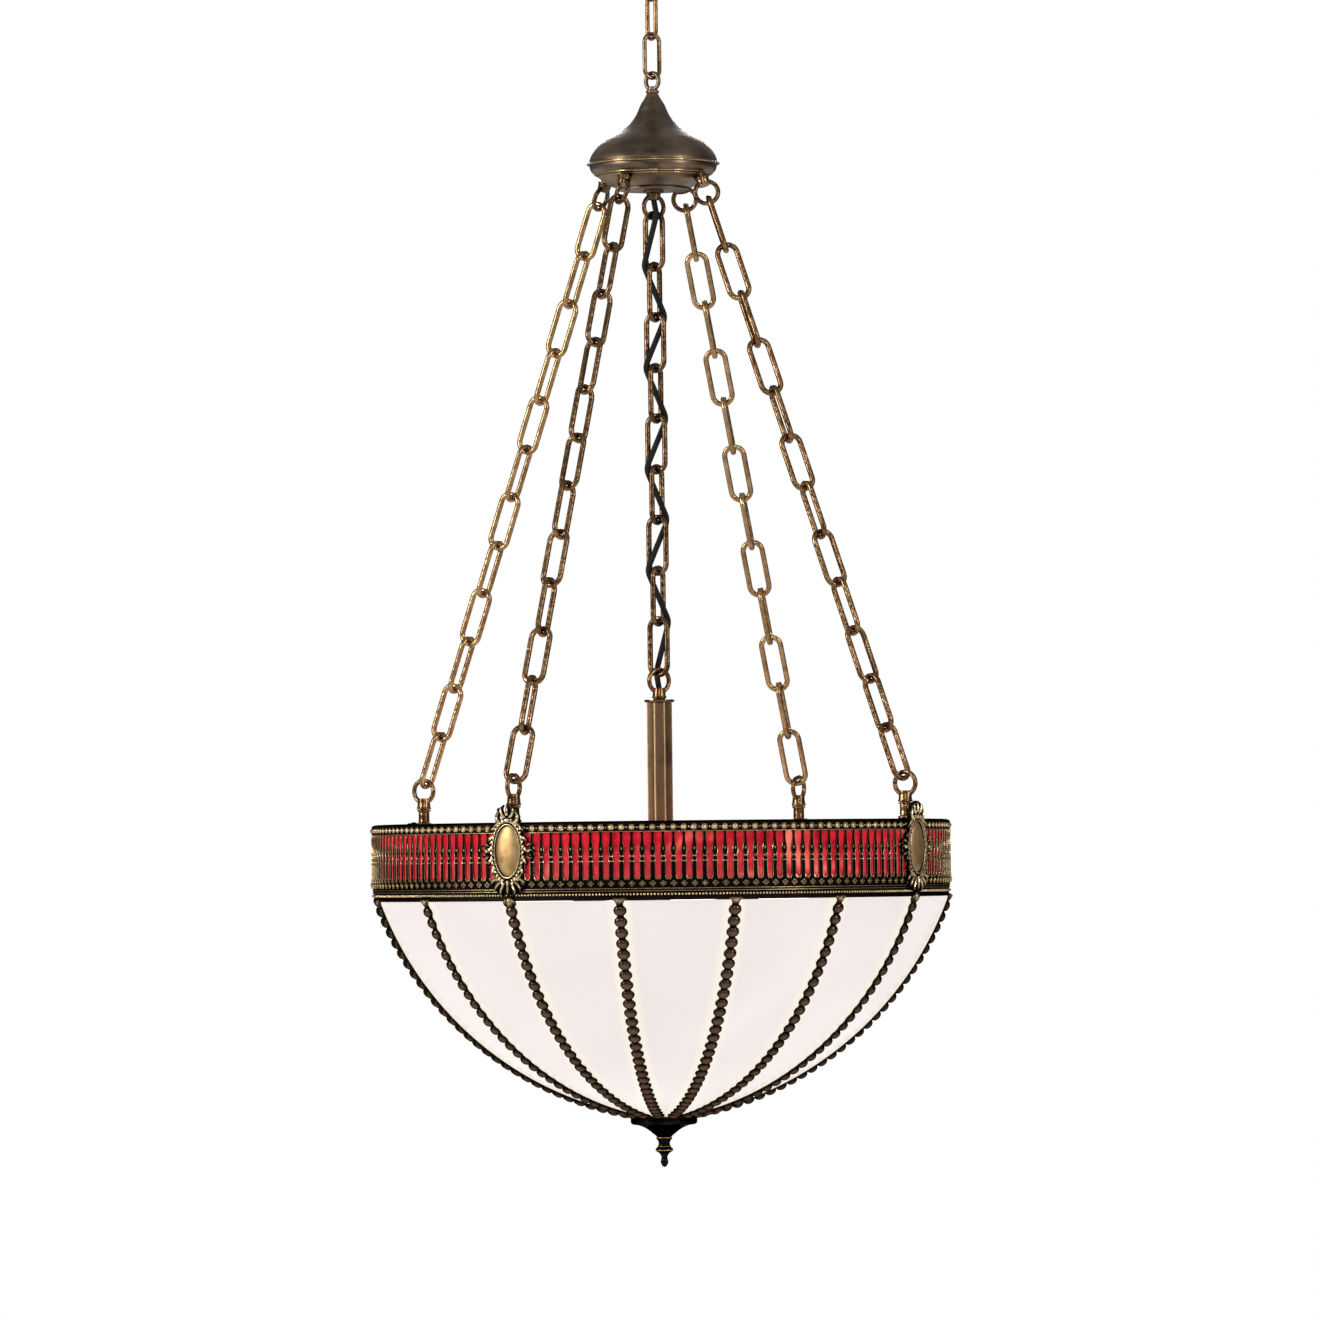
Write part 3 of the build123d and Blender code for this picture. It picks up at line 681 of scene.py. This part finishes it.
def cartouche_fringe():
    """One half of the small leaves that fan out from the oval: short ones all round,
    and between every other pair a long one."""
    leaves, end_turn = 17, 78
    across, along = 12.2, 23.0
    short, long = (4.4, 3.2, 0.13, 1.1), (8.4, 3.4, -0.15, 0.6)
    fringe = []
    for k in range(leaves):
        a = math.radians(-end_turn + 2 * end_turn * k / (leaves - 1))
        for reach, wide, bend, base in (short, long) if k % 2 else (short,):
            places = ((0.35, 0.35, a), (0.75, 0.75, a + bend), (1.0, 0.7, a + 1.8 * bend))
            leaf = [((across + out * reach) * math.cos(turn),
                     OVAL_RISE + (along + up * reach) * math.sin(turn)) for out, up, turn in places]
            fringe.append(stroke(leaf, wide, 0.3, base=base, count=6, peak=0.45, sides=6))
    return fringe


def cartouche_crest():
    """One half of the leaves that stand over the band's rim."""
    return [
        stroke([(1.4, 66.8), (7.4, 67.0), (10.2, 70.6), (8.8, 75.4), (6.0, 76.6)], 4.2, 0.4),
        stroke([(1.0, 70.6), (4.6, 73.2), (6.0, 78.2), (3.2, 81.8)], 4.0, 0.3),
        stroke([(7.8, 75.0), (9.2, 77.8), (7.4, 79.6)], 2.6, 0.3),
        shifted(dome(1.5, 1.5, 2.4, 8, 3), 4.6, 69.2, 1.0),
    ]


def cartouche(crested):
    """Leaves, scrolls, side flowers and a fan of leaves round an oval, and a crest."""
    half = cartouche_scrolls() + cartouche_fringe()
    if crested:
        half += cartouche_crest()
    parts = half + [mirrored(shape) for shape in half]
    parts += [
        oval_ring(12.5, 22.7, 0.7, OVAL_RISE, 2.2, 1.2),
        stroke([(0, 17.6), (0, 10.5), (0, 3.9)], 3.8, 0.4),
        shifted(dome(1.9, 1.9, 2.4, 8, 3), 0, 16.4, 1.0),
        back_plate(crested),
    ]
    if crested:
        parts += [
            stroke([(0, 72), (0, 77), (0, 82.4)], 3.6, 0.5),
            shifted(dome(2.5, 2.5, 3.0, 10, 4), 0, 68.8, 0.8),
            shifted(dome(1.8, 1.8, 2.6, 10, 4), 0, 74.0, 1.4),
        ]
    return joined(parts)


def back_plate(crested):
    """The thin cast ground between the leaves, from the oval out to a waved edge. It stays
    near-black, and so it also paints the shade in the gaps between the leaves.
    """
    points = []
    count = 96
    for i in range(count):
        a = 2 * math.pi * i / count
        wave = 0.9 * math.cos(10 * a)
        up = max(0.0, math.sin(a))
        crest = 12.5 * up ** 60 if crested else -1.6 * up ** 8
        drop = max(0.0, -math.sin(a)) ** 16 * 9.0
        reach = crest + drop
        for across, along, w in (OVAL_HALF + (-0.8,), OVAL_HALF + (0.7,),
                                 (16.4 + wave, 25.8 + wave + reach, 0.5),
                                 (16.8 + wave, 26.2 + wave + reach, -0.8)):
            points.append((across * math.cos(a), OVAL_RISE + along * math.sin(a), w))
    return np.array(points), grid_faces(count, 4, True, True)


def build_cartouches():
    """The four cast frames over the band, and the domed oval plaque in each."""
    frames = []
    plaques = []
    plaque = shifted(dome(*OVAL_HALF, 3.6, 48, 16), 0, OVAL_RISE, 0.4)
    for turn, crested in CARTOUCHE_TURNS.items():
        place = on_band(math.radians(turn), CARTOUCHE_R, False)
        frames.append(copies(cartouche(crested), [place]))
        plaques.append(copies(plaque, [place]))
    points, faces = joined(frames)
    make_piece("cartouche_leaves", points, faces, BAND_GOLD, "bowl", ("cartouche_frames",),
               60)
    points, faces = joined(plaques)
    make_piece("cartouche_ovals", points, faces, PLAQUE, "bowl", ("cartouche_plaques",),
               60)


# The bowl

def arc_point(arc_r, drop):
    """Radius and rise on an arc of the bowl, at an angle below level."""
    return ARC_CENTRE_R + arc_r * math.cos(drop), ARC_CENTRE_RISE - arc_r * math.sin(drop)


def spun(turn):
    """Turns points about the lamp's axis."""
    c, s = math.cos(turn), math.sin(turn)

    def place(points):
        x, y, rise = points.T
        return np.stack([x * c - y * s, x * s + y * c, rise], axis=1)
    return place


def rib_beads():
    """The row of low round beads along a rib at the turn 0."""
    count = 29
    first, last = math.radians(22.2), math.radians(78.2)
    bead_points, bead_faces = dome(5.7, 5.15, 3.9, 16, 6)
    beads = []
    for i in range(count):
        drop = first + (last - first) * i / (count - 1)
        radius, rise = arc_point(GLASS_ARC_R + 0.3, drop)
        out = np.array([math.cos(drop), 0, -math.sin(drop)])
        down = np.array([-math.sin(drop), 0, -math.cos(drop)])
        side = np.array([0, 1, 0])
        spots = (np.array([radius, 0, rise]) + bead_points[:, :1] * side + bead_points[:, 1:2] * down
                 + bead_points[:, 2:] * out)
        beads.append((spots, bead_faces))
    return beads


def rib_strip():
    """The strip under the beads, as (out, across) points swept along the arc."""
    section = ((-0.4, -3.0), (0.5, -2.9), (1.0, -2.0), (1.0, 2.0), (0.5, 2.9), (-0.4, 3.0))
    steps, sides = 50, len(section)
    start, end = math.radians(21.1), math.radians(80.0)
    points = []
    for i in range(steps):
        drop = start + (end - start) * i / (steps - 1)
        for out, y in section:
            radius, rise = arc_point(GLASS_ARC_R + 0.2 + out, drop)
            points.append((radius, y, rise))
    ends = [tuple(range(sides))[::-1], tuple((steps - 1) * sides + k for k in range(sides))]
    return np.array(points), grid_faces(steps, sides, False, True) + ends


def build_ribs():
    """The sixteen ribs, four to a piece."""
    rib = joined(rib_beads() + [rib_strip()])
    for quarter in range(4):
        points, faces = copies(rib, [spun(STEP * (4 * quarter + i)) for i in range(4)])
        make_piece("beaded_ribs_%d" % (quarter + 1), points, faces, RIB, "bowl", ("ribs",),
                   60)


def build_panels():
    """Bent glass: flat across, curved from the band down to the cap."""
    half = STEP / 2
    rows = 48
    shares = (-1.0, -0.5, 0.0, 0.5, 1.0)
    outline = []
    for arc_r in (GLASS_ARC_R, GLASS_ARC_R - GLASS_WALL):
        top = math.asin((ARC_CENTRE_RISE - GLASS_TOP_RISE) / arc_r)
        foot = math.acos((GLASS_FOOT_R - ARC_CENTRE_R) / arc_r)
        outline.append([arc_point(arc_r, top + (foot - top) * i / (rows - 1)) for i in range(rows)])
    loop = outline[0] + outline[1][::-1]
    points = []
    for radius, rise in loop:
        x = radius * math.cos(half)
        wide = x * math.tan(half) - GLASS_GAP
        points += [(x, wide * share, rise) for share in shares]
    count, columns = len(loop), len(shares)
    faces = grid_faces(count, columns, True, False)
    left = [i * columns for i in range(count)]
    right = [i * columns + columns - 1 for i in range(count)]
    for i in range(rows - 1):
        faces.append((left[i], left[i + 1], left[count - 2 - i], left[count - 1 - i]))
        faces.append((right[i + 1], right[i], right[count - 1 - i], right[count - 2 - i]))
    panel = np.array(points), faces
    points, faces = copies(panel, [spun(STEP * (i + 0.5)) for i in range(SIDES)])
    make_piece("opal_panels", points, faces, OPAL, "bowl", ("glass_panels",), 40)


def rib_leaf(middle, side, wide, side_wide, tip, high):
    """Three strokes: a middle one, and one to each side."""
    left = [(-u, rise) for u, rise in side]
    return joined([stroke(middle, wide, tip, high, 0.2), stroke(left, side_wide, 0.3, 0.5, 0.2),
                   stroke(side, side_wide, 0.3, 0.5, 0.2)])


def build_rib_leaves():
    """A small cast leaf over the top of each rib, larger under a cartouche."""
    large = rib_leaf([(0, 3.2), (0.3, -2.5), (0.0, -8.5)], [(2.4, 1.5), (4.8, -1.5), (3.6, -5.4)],
                     7.2, 3.4, 0.3, 0.42)
    small = rib_leaf([(0, 1.6), (0.0, -1.4), (0.0, -4.4)], [(2.0, 1.4), (4.6, 0.6), (6.4, 0.9)],
                     8.0, 2.2, 0.5, 0.3)
    leaf_r, slope, deepest = 253.9, 0.42, 20
    parts = []
    for i in range(SIDES):
        points, faces = large if i % 4 == 0 else small
        sunk = points.copy()
        sunk[:, 2] -= slope * np.clip(-points[:, 1], 0, deepest)
        parts.append((on_band(STEP * i, leaf_r, False)(sunk), faces))
    points, faces = joined(parts)
    make_piece("rib_leaves", points, faces, RIB_LEAF, "bowl", ("rib_clips",), 60)


# The stem, the hub and the foot

def build_stem():
    """A tube with eight broad hollow flutes, each between two fine fillets that its material
    paints bright as highlight lines.
    """
    flutes, reach, hollow = 8, 11.8, 1.35
    foot_rise, top_rise, inner_share = 62.3, 171.7, 0.45
    shares = np.linspace(-1, 1, 13)
    section = []
    for k in range(flutes):
        middle = FLUTE_TURN + 2 * math.pi * k / flutes
        for share in shares[:-1]:
            dip = hollow * max(0.0, 1 - (share / 0.86) ** 2) ** 0.7
            turn = middle + share * math.pi / flutes
            section.append(((reach - dip) * math.cos(turn), (reach - dip) * math.sin(turn)))
    rows = [(foot_rise, inner_share), (foot_rise, 1.0), (top_rise, 1.0), (top_rise, inner_share)]
    points = [(x * share, y * share, rise) for rise, share in rows for x, y in section]
    make_piece("fluted_stem", points, grid_faces(4, len(section), True, True), STEM, "bowl",
               ("stem_tube",), 30)


def bead_ring(radius, rise, thick):
    """A fine round line about the axis."""
    profile = [(radius + thick * math.cos(a), rise + thick * math.sin(a))
               for a in np.linspace(0, 2 * math.pi, 10, endpoint=False)]
    return lathe(profile, 144)


def build_lines():
    """Fine rings painted bright gold as the highlights along ridges: two round the hub's dish, its
    lip, and the finial's rings.
    """
    points, faces = joined([bead_ring(51.3, 635.8, 0.75), bead_ring(48.6, 634.0, 0.55),
                            bead_ring(57.6, 644.7, 0.75)])
    make_piece("hub_highlight_lines", points, faces, HIGHLIGHT_GOLD, "hub", (), 60)
    points, faces = joined([bead_ring(6.5, -208.9, 0.65), bead_ring(7.0, -219.8, 0.75),
                            bead_ring(5.9, -216.6, 0.35)])
    make_piece("finial_highlight_lines", points, faces, HIGHLIGHT_GOLD, "bowl", (), 60)


# Stage

def build_floor():
    """A plain pale floor, well below the lamp."""
    size, z = 9.0, -2.3
    corners = [(-size, -size, z), (size, -size, z), (size, size, z), (-size, size, z)]
    mesh = bpy.data.meshes.new("floor")
    mesh.from_pydata(corners, [], [(0, 1, 2, 3)])
    floor = bpy.data.objects.new("floor", mesh)
    bpy.context.scene.collection.objects.link(floor)
    mesh.materials.append(dull_material("pale_floor", (0.82, 0.82, 0.81), (0.86, 0.86, 0.85), 0.6, 3.0,
                                        glow=0.25, relief=0.02))


def build_world():
    """White behind the lamp, and a dim room, darker below, for the metal to mirror."""
    world = bpy.data.worlds.new("studio")
    world.use_nodes = True
    nodes, links = world.node_tree.nodes, world.node_tree.links
    nodes.clear()
    backdrop = node(nodes, "ShaderNodeBackground")
    backdrop.inputs["Color"].default_value = (1, 1, 1, 1)
    backdrop.inputs["Strength"].default_value = 1.0
    room = node(nodes, "ShaderNodeBackground")
    spot = node(nodes, "ShaderNodeTexCoord").outputs["Generated"]
    height = separated(nodes, links, spot)[2]
    shade = ramp(nodes, links, spread(nodes, links, height, -0.6, 0.8),
                 [(0.0, (0.06, 0.055, 0.05)), (0.42, (0.13, 0.13, 0.13)), (1.0, (0.50, 0.51, 0.53))])
    links.new(shade, room.inputs["Color"])
    room.inputs["Strength"].default_value = 0.7
    path = node(nodes, "ShaderNodeLightPath")
    chosen = node(nodes, "ShaderNodeMixShader")
    links.new(path.outputs["Is Camera Ray"], chosen.inputs["Fac"])
    links.new(room.outputs["Background"], chosen.inputs[1])
    links.new(backdrop.outputs["Background"], chosen.inputs[2])
    out = node(nodes, "ShaderNodeOutputWorld")
    links.new(chosen.outputs["Shader"], out.inputs["Surface"])
    bpy.context.scene.world = world


def soft_light(name, place, target, size, power, colour=(1, 1, 1)):
    """A flat lamp that faces its target."""
    data = bpy.data.lights.new(name, "AREA")
    data.shape = "RECTANGLE"
    data.size, data.size_y = size
    data.energy = power
    data.color = colour
    light = bpy.data.objects.new(name, data)
    light.location = place
    light.rotation_euler = (Vector(target) - Vector(place)).to_track_quat("-Z", "Y").to_euler()
    bpy.context.scene.collection.objects.link(light)


def build_lights():
    """The key from the camera's left, a broad light behind, and two tall narrow ones
    for bright edges on the metal."""
    middle = (0, 0, -0.65)
    soft_light("key", (-1.9, -2.9, 0.2), middle, (0.6, 1.6), 80, (1.0, 0.95, 0.88))
    soft_light("side", (3.4, -0.6, 0.1), middle, (0.25, 1.6), 34, (1.0, 0.95, 0.9))
    soft_light("back", (-1.6, 2.8, 0.9), middle, (1.2, 1.0), 40)
    soft_light("front", (1.9, -3.0, 0.5), middle, (0.25, 1.2), 20, (1.0, 0.95, 0.9))


def build_camera():
    """Level with the band's lower part, far off, tipped up a little to the chains."""
    distance = 7.112
    eye_rise, aim_rise, aim_side = 26.3, 209.6, 0.6
    lens, sensor = 221.5, 36.0
    roll = math.radians(0.65)
    back = Vector((math.sin(CAMERA_TURN), -math.cos(CAMERA_TURN), 0))
    side = Vector((math.cos(CAMERA_TURN), math.sin(CAMERA_TURN), 0)) * aim_side * MM
    eye = back * distance + Vector((0, 0, (eye_rise + FOOT_Z) * MM)) + side
    aim = Vector((0, 0, (aim_rise + FOOT_Z) * MM)) + side
    data = bpy.data.cameras.new("camera")
    data.lens = lens
    data.sensor_width = sensor
    data.clip_start, data.clip_end = 0.1, 60.0
    camera = bpy.data.objects.new("camera", data)
    camera.rotation_mode = "QUATERNION"
    camera.location = eye
    level = (aim - eye).to_track_quat("-Z", "Y")
    camera.rotation_quaternion = level @ Matrix.Rotation(-roll, 3, "Z").to_quaternion()
    bpy.context.scene.collection.objects.link(camera)
    bpy.context.scene.camera = camera


bpy.context.scene.view_settings.view_transform = "Standard"
build_camera()
build_floor()
build_world()
build_lights()
dress_cad_nodes()
build_band()
build_red_glass()
build_cartouches()
build_ribs()
build_panels()
build_rib_leaves()
build_stem()
build_lines()
